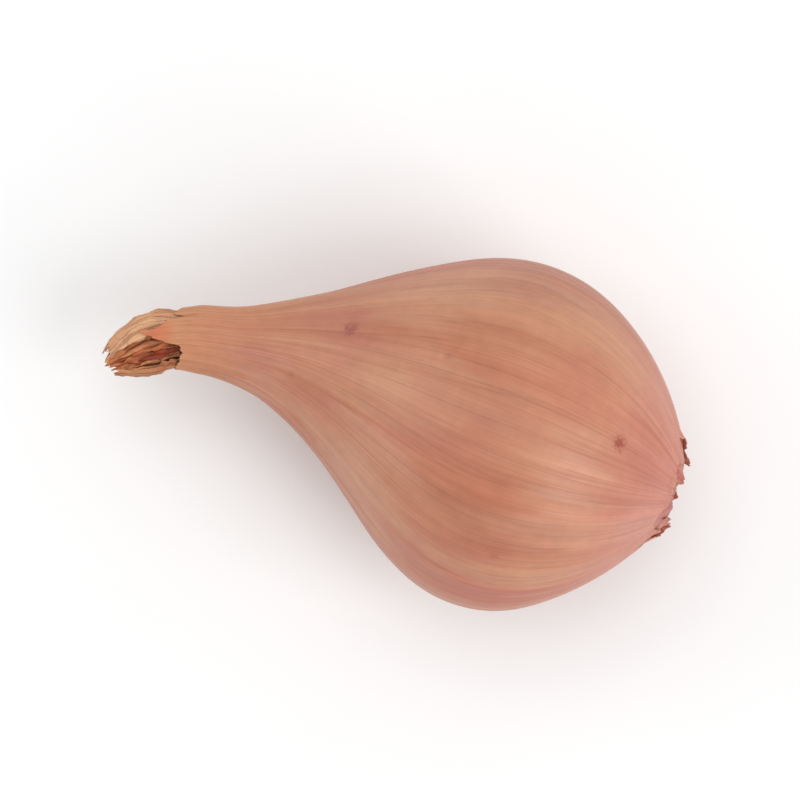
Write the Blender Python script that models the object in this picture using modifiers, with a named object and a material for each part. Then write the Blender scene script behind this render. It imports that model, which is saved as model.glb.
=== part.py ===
"""One shallot in its dry skin, lying on its side.

The long axis runs along X, with the dried neck at -X and the root end at +X. Z is up and the bulb rests
on a small flat spot at Z = 0. Blender's unit is the metre; the dimensions below are millimetres.
"""

import math

import bmesh
import bpy
from mathutils import Vector

MM = 0.001

# Stations along the bulb, measured from the tip of the dried neck.
NECK_START = 5.0
NECK_SWELLS = 12.0
BELLY_AT = 56.5
ROOT_END = 83.6

# Widths across Y, and the height at each place as a share of the width there.
NECK_WIDTH = 9.6
BELLY_WIDTH = 48.6
NECK_HEIGHT_SHARE = 0.78
BELLY_HEIGHT_SHARE = 0.9
HEIGHT_GROWS_OVER = 30.0

# How the outline fills out: towards the belly from the neck, and round the root end.
SHOULDER_POWER = 1.1
ROOT_POWER = 2.0
ROOT_ROUNDNESS = 0.75

# The centre line's place: station, sideways shift, rise. The neck hangs a little, so that the lowest
# point of the belly is under the centre of mass.
CENTRE_LINE = [
    (5.0, -3.6, -4.6),
    (11.0, -1.3, -4.0),
    (17.0, 0.0, -3.3),
    (26.0, 1.4, -2.3),
    (36.0, 1.5, -1.4),
    (52.0, 0.0, -0.3),
    (66.0, -0.6, 0.5),
    (83.6, -0.4, 1.2),
]

# Broad lengthwise flutes: waves round the bulb, their share of the radius, and their turn.
FLUTES = [(3, 0.009, 1.2), (5, 0.008, 1.9), (8, 0.004, -0.4)]

# The flat spot that it rests on, and the two ends that are cut off square.
FLAT_DEPTH = 1.0
MOUTH_AT = Vector((9.6, -1.6, -4.0))
MOUTH_FACES = Vector((-0.98, -0.2, 0.0))
MOUTH_WALL = 0.6
MOUTH_DEPTH = 3.2
MOUTH_TAPER = 0.2
ROOT_CUT_AT = 81.8
SOCKET_WALL = 0.5
SOCKET_DEPTH = 1.3
SOCKET_TAPER = 0.1

# Neighbouring pieces keep this far apart.
GAP = 0.3

# The dried end of the neck bends sideways along three control points: station, shift, rise.
DRY_END = [Vector((12.0, -1.2, -3.9)), Vector((7.0, -1.6, -4.3)), Vector((0.9, -8.6, -5.2))]
DRY_HALF_WIDTHS = [(0.0, 3.4), (0.25, 3.8), (0.5, 4.4), (0.68, 4.2), (0.84, 3.4), (1.0, 1.8)]
DRY_HALF_HEIGHTS = [(0.0, 2.3), (0.25, 2.6), (0.5, 2.9), (0.75, 2.4), (1.0, 1.2)]
SHEATH_THICKNESS = 0.6
SHEATH_EDGES = (75.0, -217.0)

# Dried leaf ends in the sheath's slit: place across the sheath and height in it, as shares of its
# inner half width and half height, then how far along the dried end each one reaches.
NECK_LEAVES = {
    "neck_leaf_outer": (0.36, 0.42, 0.94),
    "neck_leaf_middle": (-0.14, 0.62, 0.86),
    "neck_leaf_inner": (-0.62, 0.28, 0.74),
}
LEAF_SPACING = 0.48
LEAF_THICKNESS = 0.5
LEAF_ARCH = 0.22

# The root plate fills the socket and stands a little proud; its trimmed roots stand on it.
PLATE_DOME = 0.7
PLATE_EDGE = 1.0
STUB_RINGS = [(1, 0.0), (5, 1.5), (9, 2.9)]
STUB_RADIUS = 0.42
STUB_LENGTH = 1.3
STUB_SUNK = 0.7
STUB_LEAN = 0.35

# Mesh density
BULB_SEGMENTS = 56
BULB_RINGS = 44
SHEATH_ALONG = 14
SHEATH_AROUND = 16
LEAF_ALONG = 12
LEAF_ACROSS = 4
PLATE_SEGMENTS = 32
STUB_SEGMENTS = 8


def smoothstep(share):
    share = min(max(share, 0.0), 1.0)
    return share * share * (3.0 - 2.0 * share)


def mix(first, last, share):
    return first + (last - first) * share


def through(stations, at, column=1):
    """A smooth curve through the stations: cubic pieces that share their slopes."""
    places = [station[0] for station in stations]
    values = [station[column] for station in stations]
    at = min(max(at, places[0]), places[-1])

    def slope(i):
        low, high = max(i - 1, 0), min(i + 1, len(places) - 1)
        return (values[high] - values[low]) / (places[high] - places[low])

    i = max(k for k in range(len(places) - 1) if places[k] <= at)
    span = places[i + 1] - places[i]
    t = (at - places[i]) / span
    start = (1 + 2 * t) * (1 - t) ** 2 * values[i] + t * (1 - t) ** 2 * span * slope(i)
    end = t * t * (3 - 2 * t) * values[i + 1] + t * t * (t - 1) * span * slope(i + 1)
    return start + end


def half_width(station):
    if station < BELLY_AT:
        share = max((station - NECK_SWELLS) / (BELLY_AT - NECK_SWELLS), 0.0)
        return mix(NECK_WIDTH, BELLY_WIDTH, smoothstep(share**SHOULDER_POWER)) / 2
    share = (station - BELLY_AT) / (ROOT_END - BELLY_AT)
    return BELLY_WIDTH / 2 * max(1.0 - share**ROOT_POWER, 0.0) ** ROOT_ROUNDNESS


def half_height(station):
    share = smoothstep((station - NECK_SWELLS) / HEIGHT_GROWS_OVER)
    return half_width(station) * mix(NECK_HEIGHT_SHARE, BELLY_HEIGHT_SHARE, share)


def fluting(station, angle):
    """The radius's factor: flutes are deepest at the belly and fade out at both ends."""
    depth = smoothstep((station - NECK_SWELLS) / (BELLY_AT - NECK_SWELLS))
    depth *= smoothstep((ROOT_END - station) / (ROOT_END - BELLY_AT))
    return 1.0 + depth * sum(share * math.cos(waves * angle + turn) for waves, share, turn in FLUTES)


def skin_point(station, angle):
    """A point of the skin; the angle runs round the bulb from +Y towards +Z."""
    factor = fluting(station, angle)
    side = through(CENTRE_LINE, station, 1) + factor * half_width(station) * math.cos(angle)
    rise = through(CENTRE_LINE, station, 2) + factor * half_height(station) * math.sin(angle)
    return Vector((station, side, rise))


def cut_flat(bm, point, outwards):
    """Cuts off what lies beyond a plane, closes the cut with one flat face and returns that face."""
    everything = bm.verts[:] + bm.edges[:] + bm.faces[:]
    cut = bmesh.ops.bisect_plane(
        bm, geom=everything, dist=1e-6, plane_co=point, plane_no=outwards, clear_outer=True
    )
    rim = [item for item in cut["geom_cut"] if isinstance(item, bmesh.types.BMEdge)]
    face = bmesh.ops.contextual_create(bm, geom=rim)["faces"][0]
    face.normal_update()
    if face.normal.dot(outwards) < 0:
        face.normal_flip()
    return face


def hollow_out(bm, face, wall, depth, taper):
    """Sinks a flat face, leaving a wall round it."""
    bmesh.ops.inset_region(bm, faces=[face], thickness=wall, use_even_offset=True)
    bmesh.ops.inset_region(bm, faces=[face], thickness=taper, depth=-depth, use_even_offset=True)


def material(name, colour, roughness):
    made = bpy.data.materials.new(name)
    made.use_nodes = True
    shader = made.node_tree.nodes["Principled BSDF"]
    shader.inputs["Base Color"].default_value = (*colour, 1.0)
    shader.inputs["Roughness"].default_value = roughness
    shader.inputs["Metallic"].default_value = 0.0
    return made


def add_object(name, bm, finish, collection, parent=None):
    """Turns a bmesh in millimetres into an object in metres."""
    bmesh.ops.scale(bm, vec=Vector((MM, MM, MM)), verts=bm.verts)
    bmesh.ops.recalc_face_normals(bm, faces=bm.faces)
    mesh = bpy.data.meshes.new(name)
    bm.to_mesh(mesh)
    bm.free()
    mesh.shade_smooth()
    mesh.set_sharp_from_angle(angle=math.radians(40))
    made = bpy.data.objects.new(name, mesh)
    made.parent = parent
    if finish:
        mesh.materials.append(finish)
    collection.objects.link(made)
    return made


def make_bulb(collection, parent):
    """A sphere drawn out into the bulb's form, flat where it rests and hollow at its two ends."""
    bm = bmesh.new()
    bmesh.ops.create_uvsphere(bm, u_segments=BULB_SEGMENTS, v_segments=BULB_RINGS, radius=1.0)
    for vert in bm.verts:
        from_neck = math.acos(min(max(vert.co.z, -1.0), 1.0))
        around = math.atan2(vert.co.y, vert.co.x)
        station = mix(NECK_START, ROOT_END, math.sin(from_neck / 2))
        vert.co = skin_point(station, around)
    mouth = cut_flat(bm, MOUTH_AT, MOUTH_FACES)
    hollow_out(bm, mouth, MOUTH_WALL, MOUTH_DEPTH, MOUTH_TAPER)
    scar = cut_flat(bm, Vector((ROOT_CUT_AT, 0, 0)), Vector((1, 0, 0)))
    hollow_out(bm, scar, SOCKET_WALL, SOCKET_DEPTH, SOCKET_TAPER)
    floor = min(vert.co.z for vert in bm.verts) + FLAT_DEPTH
    cut_flat(bm, Vector((0, 0, floor)), Vector((0, 0, -1)))
    return add_object("bulb", bm, material("bulb_skin", (0.52, 0.24, 0.15), 0.45), collection, parent)


def dry_end_frame(share):
    """Centre of the dried neck end at a share of its length, and the way to the outside of its bend."""
    start, bend, tip = DRY_END
    centre = start * (1 - share) ** 2 + bend * 2 * share * (1 - share) + tip * share**2
    along = (bend - start) * (1 - share) + (tip - bend) * share
    return centre, along.cross(Vector((0, 0, 1))).normalized()


def dry_end_point(share, across, up, inset=0.0):
    """A point of the dried end; across and up are shares of its half width and half height."""
    centre, side = dry_end_frame(share)
    width = through(DRY_HALF_WIDTHS, share) - inset
    height = through(DRY_HALF_HEIGHTS, share) - inset
    return centre + side * (across * width) + Vector((0, 0, up * height))


def sheet_object(name, along, across, place, thickness, finish, collection, parent):
    """A sheet of quads whose points come from place(u, v) with u and v from 0 to 1, then thickened."""
    bm = bmesh.new()
    bmesh.ops.create_grid(bm, x_segments=along, y_segments=across, size=0.5)
    for vert in bm.verts:
        vert.co = place(vert.co.x + 0.5, vert.co.y + 0.5)
    made = add_object(name, bm, finish, collection, parent)
    solid = made.modifiers.new("thickness", "SOLIDIFY")
    solid.thickness = thickness * MM
    solid.offset = 0.0
    solid.use_even_offset = True
    return made


def make_neck_sheath(collection, parent):
    """The outermost dried leaf: a bent trough, open above where its edges have split apart."""
    first, last = (math.radians(edge) for edge in SHEATH_EDGES)

    def place(u, v):
        angle = mix(first, last, v)
        return dry_end_point(u, math.cos(angle), math.sin(angle), SHEATH_THICKNESS / 2)

    straw = material("dry_sheath", (0.62, 0.36, 0.19), 0.7)
    return sheet_object(
        "neck_sheath", SHEATH_ALONG, SHEATH_AROUND, place, SHEATH_THICKNESS, straw, collection, parent
    )


def make_neck_leaf(name, finish, collection, parent):
    """One dried leaf end lying in the sheath, arched across its width."""
    across, height, reach = NECK_LEAVES[name]
    inset = SHEATH_THICKNESS + GAP

    def place(u, v):
        share = mix(0.06, reach, u)
        inner_half = through(DRY_HALF_WIDTHS, share) - inset
        half = LEAF_SPACING / 2 - GAP / 2 / inner_half
        offset = mix(-half, half, v)
        arch = LEAF_ARCH * (1 - (2 * v - 1) ** 2)
        return dry_end_point(share, across + offset, height + arch, inset)

    return sheet_object(name, LEAF_ALONG, LEAF_ACROSS, place, LEAF_THICKNESS, finish, collection, parent)


def make_root_plate(collection, helpers, parent):
    """A low corky disc in the socket, joined with the stubs of the trimmed roots."""
    centre_y = through(CENTRE_LINE, ROOT_CUT_AT, 1)
    centre_z = through(CENTRE_LINE, ROOT_CUT_AT, 2)
    radius = (half_width(ROOT_CUT_AT) - SOCKET_WALL) * BELLY_HEIGHT_SHARE - SOCKET_TAPER - GAP
    back = ROOT_CUT_AT - SOCKET_DEPTH + GAP
    front = ROOT_CUT_AT + PLATE_DOME
    bm = bmesh.new()
    bmesh.ops.create_cone(
        bm,
        cap_ends=True,
        segments=PLATE_SEGMENTS,
        radius1=radius,
        radius2=radius - PLATE_EDGE,
        depth=front - back,
    )
    bmesh.ops.rotate(bm, verts=bm.verts, matrix=turn_to(Vector((1, 0, 0))))
    bmesh.ops.translate(bm, verts=bm.verts, vec=Vector(((front + back) / 2, centre_y, centre_z)))
    plate = add_object("root_plate", bm, material("root_cork", (0.42, 0.25, 0.17), 0.85), collection, parent)

    bm = bmesh.new()
    for count, ring in STUB_RINGS:
        for number in range(count):
            turn = math.tau * (number + ring / 4) / count
            outwards = Vector((0, math.cos(turn), math.sin(turn)))
            lean = (Vector((1, 0, 0)) + outwards * STUB_LEAN * ring / radius).normalized()
            foot = Vector((front - STUB_SUNK, centre_y, centre_z)) + outwards * ring
            add_stub(bm, foot, lean)
    stubs = add_object("root_stubs", bm, None, helpers, parent)
    stubs.hide_render = True
    stubs.display_type = "WIRE"
    join = plate.modifiers.new("stubs", "BOOLEAN")
    join.operation = "UNION"
    join.object = stubs
    join.solver = "EXACT"
    return plate


def turn_to(direction):
    return direction.to_track_quat("Z", "Y").to_matrix()


def add_stub(bm, foot, direction):
    length = STUB_SUNK + STUB_LENGTH
    made = bmesh.ops.create_cone(
        bm, cap_ends=True, segments=STUB_SEGMENTS, radius1=STUB_RADIUS, radius2=STUB_RADIUS * 0.7, depth=length
    )["verts"]
    bmesh.ops.rotate(bm, verts=made, matrix=turn_to(direction))
    bmesh.ops.translate(bm, verts=made, vec=foot + direction * length / 2)


def stand_at_origin(parent, pieces):
    """Moves the whole shallot so that its box is centred on the origin and stands at Z = 0."""
    bpy.context.view_layer.update()
    depsgraph = bpy.context.evaluated_depsgraph_get()
    points = []
    for piece in pieces:
        shape = piece.evaluated_get(depsgraph)
        points += [shape.matrix_world @ vert.co for vert in shape.data.vertices]
    low = Vector([min(point[axis] for point in points) for axis in range(3)])
    high = Vector([max(point[axis] for point in points) for axis in range(3)])
    middle = (low + high) / 2
    parent.location = (-middle.x, -middle.y, -low.z)


def main():
    for old in list(bpy.data.objects):
        bpy.data.objects.remove(old, do_unlink=True)
    collection = bpy.data.collections.new("shallot")
    helpers = bpy.data.collections.new("shallot_helpers")
    bpy.context.scene.collection.children.link(collection)
    bpy.context.scene.collection.children.link(helpers)
    whole = bpy.data.objects.new("shallot", None)
    collection.objects.link(whole)

    brown = material("dry_leaf", (0.36, 0.16, 0.08), 0.75)
    pieces = [make_bulb(collection, whole), make_neck_sheath(collection, whole)]
    pieces += [make_neck_leaf(name, brown, collection, whole) for name in NECK_LEAVES]
    pieces.append(make_root_plate(collection, helpers, whole))
    stand_at_origin(whole, pieces)


main()
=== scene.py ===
import math
import random

import bpy
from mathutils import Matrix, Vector, noise


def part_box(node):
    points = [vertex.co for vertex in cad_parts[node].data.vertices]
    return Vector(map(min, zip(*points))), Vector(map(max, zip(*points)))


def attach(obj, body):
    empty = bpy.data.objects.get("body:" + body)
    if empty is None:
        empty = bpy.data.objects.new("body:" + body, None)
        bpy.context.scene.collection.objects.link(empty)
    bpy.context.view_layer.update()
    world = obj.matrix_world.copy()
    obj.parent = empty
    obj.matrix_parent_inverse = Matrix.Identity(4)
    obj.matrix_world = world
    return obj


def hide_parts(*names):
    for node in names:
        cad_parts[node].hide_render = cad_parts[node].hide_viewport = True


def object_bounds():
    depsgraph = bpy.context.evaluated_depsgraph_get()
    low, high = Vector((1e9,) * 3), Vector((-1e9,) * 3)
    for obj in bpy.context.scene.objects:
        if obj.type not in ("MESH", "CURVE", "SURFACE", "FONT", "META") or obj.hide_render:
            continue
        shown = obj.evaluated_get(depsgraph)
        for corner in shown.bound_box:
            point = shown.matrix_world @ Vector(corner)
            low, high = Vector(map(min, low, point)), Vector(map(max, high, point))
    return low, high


# A shallot in its dry skin, lying on its side: neck to -X, root to +X.
# Lengths are millimetres. A station is the distance from the tip of the dried neck, along the bulb.
MM = 0.001
TAU = math.tau

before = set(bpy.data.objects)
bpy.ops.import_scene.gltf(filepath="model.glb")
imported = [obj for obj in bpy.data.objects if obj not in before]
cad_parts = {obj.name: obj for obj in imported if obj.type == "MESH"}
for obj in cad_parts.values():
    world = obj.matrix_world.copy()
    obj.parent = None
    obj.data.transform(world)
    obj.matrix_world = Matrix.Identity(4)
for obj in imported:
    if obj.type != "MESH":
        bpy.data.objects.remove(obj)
CAD_LOW, CAD_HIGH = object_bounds()

# --- the form, with the same dimensions as the solids ---
NECK_SWELLS = 12.0
BELLY_AT = 56.5
ROOT_END = 83.6
ROOT_CUT_AT = 81.8
NECK_WIDTH = 9.6
BELLY_WIDTH = 48.6
NECK_HEIGHT_SHARE = 0.78
BELLY_HEIGHT_SHARE = 0.9
HEIGHT_GROWS_OVER = 30.0
SHOULDER_POWER = 1.1
ROOT_ROUNDNESS = 0.75
# Station, and how far the middle lies to the side and up.
CENTRE_LINE = [
    (5.0, -3.6, -4.6), (11.0, -1.3, -4.0), (17.0, 0.0, -3.3), (26.0, 1.4, -2.3),
    (36.0, 1.5, -1.4), (52.0, 0.0, -0.3), (66.0, -0.6, 0.5), (83.6, -0.4, 1.2),
]
# Low waves round the body: how many, their height as a share of the radius, their turn.
FLUTES = [(3, 0.009, 1.2), (5, 0.008, 1.9), (8, 0.004, -0.4)]
# The bent end of the neck: its start, the corner of its bend and its tip, and its half size by share of its
# length.
DRY_END = [Vector((12.0, -1.2, -3.9)), Vector((7.0, -1.6, -4.3)), Vector((0.9, -8.6, -5.2))]
DRY_HALF_WIDTHS = [(0.0, 3.4), (0.25, 3.8), (0.5, 4.4), (0.68, 4.2), (0.84, 3.4), (1.0, 1.8)]
DRY_HALF_HEIGHTS = [(0.0, 2.3), (0.25, 2.6), (0.5, 2.9), (0.75, 2.4), (1.0, 1.2)]
# The sheath runs round the neck between these two angles and leaves a slit on top.
SHEATH_EDGES = (75.0, -217.0)

# --- the skin sheet ---
SKIN_AROUND = 480
SKIN_ALONG = 184
# Rings stand closer together at the two ends, where the skin is wrinkled and torn.
NECK_DETAIL_TO = 20.0
ROOT_DETAIL_FROM = 72.0
PLAIN_DETAIL = 0.45
SKIN_THICKNESS = 0.17
# The mouth's mean station, how far its torn rim shifts the rings behind it, and how deep it opens.
MOUTH_STATION = 9.6
MOUTH_FADE = 9.0
MOUTH_CUP_TO = 13.2
# How far the lip of the mouth holds off the dried sheath under it.
MOUTH_CLEARANCE = 0.34
# The skin's fibres run along it, so its patterns are read from a cylinder of this radius.
FIBRE_RADIUS = 24.0
# Torn rim of the mouth: angle round the neck in degrees, and the station where the skin ends.
MOUTH_RIM = [
    (-180, 10.3), (-146, 9.9), (-120, 8.9), (-113, 11.6), (-107, 9.2), (-66, 8.2), (-33, 9.4),
    (-26, 11.0), (-20, 9.1), (0, 8.6), (13, 7.7), (19, 8.6), (38, 7.6), (46, 9.0), (51, 7.2),
    (64, 6.5), (74, 4.3), (79, 4.0), (84, 5.6), (88, 5.9), (99, 8.3), (104, 9.8), (120, 10.6),
    (142, 10.5), (180, 10.3),
]

# --- the dried neck ---
SHEATH_SHEET = 0.14
STRIP_SHEET = 0.12
# Dried strips for each leaf of the solid. Place across and height are shares of the neck's half size, start
# and reach are shares of its length, and then come half width, twist and tint from red-brown to tan.
NECK_STRIPS = {
    "neck_leaf_outer": [
        (0.50, 0.42, 0.04, 0.80, 0.55, 0.5, 0.25), (0.36, 0.52, 0.02, 0.95, 0.50, -0.4, 0.55),
        (0.22, 0.40, 0.05, 0.88, 0.45, 0.7, 0.40), (0.44, 0.18, 0.00, 0.97, 0.60, 0.2, 0.15),
        (0.55, -0.20, 0.40, 1.00, 0.80, 0.5, 0.60), (0.15, -0.75, 0.45, 1.00, 0.95, -0.2, 0.35),
    ],
    "neck_leaf_middle": [
        (0.06, 0.64, 0.03, 0.70, 0.50, -0.6, 0.45), (-0.08, 0.54, 0.00, 0.90, 0.55, 0.3, 0.60),
        (-0.22, 0.66, 0.06, 0.78, 0.42, 0.6, 0.35), (-0.16, 0.30, 0.00, 0.93, 0.60, -0.2, 0.12),
        (0.00, 0.05, 0.42, 1.02, 0.85, 0.4, 0.50), (-0.30, -0.70, 0.45, 0.99, 0.95, -0.3, 0.65),
        (-0.32, 0.92, 0.05, 0.46, 0.30, 1.6, 0.45), (0.24, 0.80, 0.10, 0.60, 0.26, -1.3, 0.75),
    ],
    "neck_leaf_inner": [
        (-0.40, 0.48, 0.02, 0.62, 0.42, 0.4, 0.05), (-0.54, 0.30, 0.00, 0.76, 0.50, -0.5, 0.00),
        (-0.68, 0.30, 0.04, 0.84, 0.42, 0.3, 0.70), (-0.60, 0.05, 0.00, 0.80, 0.55, 0.1, 0.10),
        (-0.45, 0.20, 0.45, 1.00, 0.75, 0.7, 0.45), (-0.70, -0.35, 0.45, 0.98, 0.85, -0.3, 0.60),
        (-0.62, 0.66, 0.04, 0.40, 0.28, -1.5, 0.60),
    ],
}

# --- the root end ---
# Rings of the skin's lip and of the socket under it, for the root plate: how far inwards, how far back, and
# how much of the ragged lip's reach is added.
ROOT_SOCKET = [
    (0.14, -0.12, 0.0), (0.3, -0.2, 0.45), (0.3, -0.22, 1.0), (0.3, -0.08, 1.0),
    (0.55, 0.15, 0.0), (0.6, 0.6, 0.0), (0.7, 1.1, 0.0),
]
PLATE_RADIUS = 4.0
PLATE_HEIGHT_SHARE = 0.93
PLATE_AROUND = 120
PLATE_RINGS = 38
# One long pit, where roots have come out of the plate: places across and up from the middle, and sizes.
PLATE_PITS = [(-1.5, -0.9, 0.45), (-1.75, -0.1, 0.6), (-1.6, 0.8, 0.55), (-1.0, 1.4, 0.35)]
PLATE_BACK = ROOT_CUT_AT - 1.0
PLATE_FRONT = ROOT_CUT_AT + 0.1
PIT_DEPTH = 1.1
ROOT_THREADS = 20
# Loose torn skin at the rim: station and angle where it starts, length, half width in degrees, and lift.
ROOT_FLAPS = [
    (80.9, 64, 1.7, 15, 0.2), (80.9, 141, 1.6, 18, 0.15), (80.3, 205, 2.3, 17, 0.6),
    (80.8, 268, 1.8, 21, 0.3), (80.6, 338, 2.0, 16, 0.4),
]
# The outermost layer ends at this distance from the root's middle, further off in its tears:
# angle, extra distance, half width in degrees, and how sharp the tear is.
LAYER_END_RADIUS = 6.6
LAYER_TEARS = [
    (22, 1.6, 14, 0.7), (126, 1.3, 16, 0.5), (165, 4.4, 12, 1.3), (243, 6.8, 20, 1.1), (256, 2.4, 16, 0.4),
    (292, 1.8, 17, 0.5), (328, 5.2, 13, 1.4),
]
# Stretches of its edge that curl off: middle and half width in degrees, how far back, lift of the edge.
EDGE_LIPS = [
    (8, 12, 1.6, 0.45), (78, 15, 1.2, 0.25), (145, 10, 1.5, 0.4), (180, 9, 2.0, 0.7),
    (226, 9, 2.2, 0.75), (268, 11, 1.8, 0.6), (306, 11, 2.0, 0.8), (345, 7, 1.5, 0.5),
]
# A long split in the outermost layer, low on one side.
SPLIT_ANGLE = 207.0
SPLIT_FROM = 46.0
SPLIT_TO = 82.0
SPLIT_HALF_WIDTH = 10.0
# Stretches of the split's edges that curl off: side, first and last station, how far back, lift.
SPLIT_LIPS = [(-1, 61, 69, 1.5, 0.35), (-1, 70, 78, 1.8, 0.55), (1, 64, 75, 1.6, 0.45)]
# How far from its torn edge the outermost layer is measured, and its thickness.
LAYER_REACH = 4.0
LAYER_THICKNESS = 0.17
# The layer value that marks the skin's hidden inside, which its material darkens as painted shade.
INSIDE = -20.0
FLAKE_SHEET = 0.14
# Loose skin stays this far above the floor.
FLOOR_GAP = 0.15


def clamp(value, low=0.0, high=1.0):
    return min(max(value, low), high)


def smoothstep(share):
    share = clamp(share)
    return share * share * (3.0 - 2.0 * share)


def mix(first, last, share):
    return first + (last - first) * share


def through(stations, at, column=1):
    """A smooth curve through the stations: cubic pieces that share their slopes."""
    places = [station[0] for station in stations]
    values = [station[column] for station in stations]
    at = clamp(at, places[0], places[-1])

    def slope(i):
        low, high = max(i - 1, 0), min(i + 1, len(places) - 1)
        return (values[high] - values[low]) / (places[high] - places[low])

    i = max(k for k in range(len(places) - 1) if places[k] <= at)
    span = places[i + 1] - places[i]
    t = (at - places[i]) / span
    start = (1 + 2 * t) * (1 - t) ** 2 * values[i] + t * (1 - t) ** 2 * span * slope(i)
    end = t * t * (3 - 2 * t) * values[i + 1] + t * t * (t - 1) * span * slope(i + 1)
    return start + end


def straight_through(points, at):
    """Straight pieces through (place, value) points."""
    for (first, low), (last, high) in zip(points, points[1:]):
        if at <= last:
            return mix(low, high, clamp((at - first) / (last - first)))
    return points[-1][1]


def half_width(station):
    if station < BELLY_AT:
        share = max((station - NECK_SWELLS) / (BELLY_AT - NECK_SWELLS), 0.0)
        return mix(NECK_WIDTH, BELLY_WIDTH, smoothstep(share**SHOULDER_POWER)) / 2
    share = (station - BELLY_AT) / (ROOT_END - BELLY_AT)
    return BELLY_WIDTH / 2 * max(1.0 - share**2, 0.0) ** ROOT_ROUNDNESS


def half_height(station):
    share = smoothstep((station - NECK_SWELLS) / HEIGHT_GROWS_OVER)
    return half_width(station) * mix(NECK_HEIGHT_SHARE, BELLY_HEIGHT_SHARE, share)


# The profile, kept in fine steps so that each point of the skin is quick to find.
PROFILE_STEP = 0.05
PROFILE = [
    (
        through(CENTRE_LINE, i * PROFILE_STEP, 1),
        through(CENTRE_LINE, i * PROFILE_STEP, 2),
        half_width(i * PROFILE_STEP),
        half_height(i * PROFILE_STEP),
        smoothstep((i * PROFILE_STEP - NECK_SWELLS) / (BELLY_AT - NECK_SWELLS))
        * smoothstep((ROOT_END - i * PROFILE_STEP) / (ROOT_END - BELLY_AT)),
    )
    for i in range(int(ROOT_END / PROFILE_STEP) + 1)
]


def profile_at(station):
    place = clamp(station / PROFILE_STEP, 0, len(PROFILE) - 2)
    i = int(place)
    return [mix(low, high, place - i) for low, high in zip(PROFILE[i], PROFILE[i + 1])]


def skin_point(station, angle):
    """A point of the plain skin; the angle runs round the bulb from +Y towards +Z."""
    side, rise, wide, high, depth = profile_at(station)
    factor = 1.0 + depth * sum(share * math.cos(waves * angle + turn) for waves, share, turn in FLUTES)
    return Vector((station, side + factor * wide * math.cos(angle), rise + factor * high * math.sin(angle)))


def skin_normal(station, angle):
    along = skin_point(station + 0.1, angle) - skin_point(station - 0.1, angle)
    around = skin_point(station, angle + 0.01) - skin_point(station, angle - 0.01)
    return around.cross(along).normalized()


def find_shift():
    """From stations to the frame's own place: the plain form's belly fills the bulb's box."""
    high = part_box("bulb")[1] / MM
    stations = [BELLY_AT + step / 4 for step in range(-26, 34)]
    belly = [skin_point(at, math.radians(turn)) for at in stations for turn in range(0, 360, 2)]
    return Vector((
        high.x - ROOT_CUT_AT,
        high.y - max(point.y for point in belly),
        high.z - max(point.z for point in belly),
    ))


SHIFT = find_shift()
FLOOR = -SHIFT.z


def dry_end_frame(share):
    """Centre of the dried neck end at a share of its length, and the way to the outside of its bend."""
    start, bend, tip = DRY_END
    centre = start * (1 - share) ** 2 + bend * 2 * share * (1 - share) + tip * share**2
    along = (bend - start) * (1 - share) + (tip - bend) * share
    return centre, along.cross(Vector((0, 0, 1))).normalized()


def dry_end_point(share, across, up, inset):
    """A point of the dried end; across and up are shares of its half size, made smaller by the inset."""
    centre, side = dry_end_frame(share)
    width = through(DRY_HALF_WIDTHS, share) - inset
    height = through(DRY_HALF_HEIGHTS, share) - inset
    return centre + side * (across * width) + Vector((0, 0, up * height))


def wave(x, y, z, octaves=1):
    """Smooth noise from about -1 to 1."""
    return noise.fractal(Vector((x, y, z)), 1.0, 2.0, octaves, noise_basis="PERLIN_ORIGINAL")


# --- meshes ---
class Form:
    """A mesh in the making, from points in stations and millimetres.

    Each point has what its material reads: its place along and across the fibres, and a layer value.
    """

    def __init__(self):
        self.points, self.fibres, self.layers, self.faces = [], [], [], []

    def add(self, point, fibre, layer):
        self.points.append(point)
        self.fibres.append(fibre)
        self.layers.append(layer)

    def join_rings(self, rings, around, first=0, closed=True, flip=False):
        """Quads between rings of points that follow one another."""
        for i in range(rings - 1):
            for j in range(around if closed else around - 1):
                k = (j + 1) % around
                a, b = first + i * around, first + (i + 1) * around
                face = (a + j, a + k, b + k, b + j)
                self.faces.append(face[::-1] if flip else face)

    def fan(self, first, around, fibre, layer, flip=False):
        """Closes a ring of points round a new point in its middle."""
        middle = len(self.points)
        ring = range(first, first + around)
        self.add(sum((self.points[k] for k in ring), Vector()) / around, fibre, layer)
        for k in ring:
            following = first + (k + 1 - first) % around
            self.faces.append((following, k, middle) if flip else (k, following, middle))

    def build(self, name, material, smooth_angle=50):
        """The object, in metres and in the frame's place."""
        mesh = bpy.data.meshes.new(name)
        mesh.from_pydata([(point + SHIFT) * MM for point in self.points], [], self.faces)
        mesh.shade_smooth()
        mesh.set_sharp_from_angle(angle=math.radians(smooth_angle))
        held = mesh.attributes.new("fibre", "FLOAT_VECTOR", "POINT")
        held.data.foreach_set("vector", [value for fibre in self.fibres for value in fibre])
        held = mesh.attributes.new("layer", "FLOAT", "POINT")
        held.data.foreach_set("value", self.layers)
        mesh.materials.append(material)
        mesh.validate()
        made = bpy.data.objects.new(name, mesh)
        bpy.context.scene.collection.objects.link(made)
        return made


def make_sheets(name, patches, thickness, material):
    """Open sheets in one object, each given as (along, across, place), thickened both ways.

    place(u, v) gives a point, its fibre coordinates and its layer value for u and v from 0 to 1.
    """
    form = Form()
    for along, across, place in patches:
        form.join_rings(along, across, first=len(form.points), closed=False)
        for i in range(along):
            for j in range(across):
                form.add(*place(i / (along - 1), j / (across - 1)))
    made = form.build(name, material, smooth_angle=80)
    solid = made.modifiers.new("thickness", "SOLIDIFY")
    solid.thickness = thickness * MM
    solid.offset = 0.0
    return made


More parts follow.
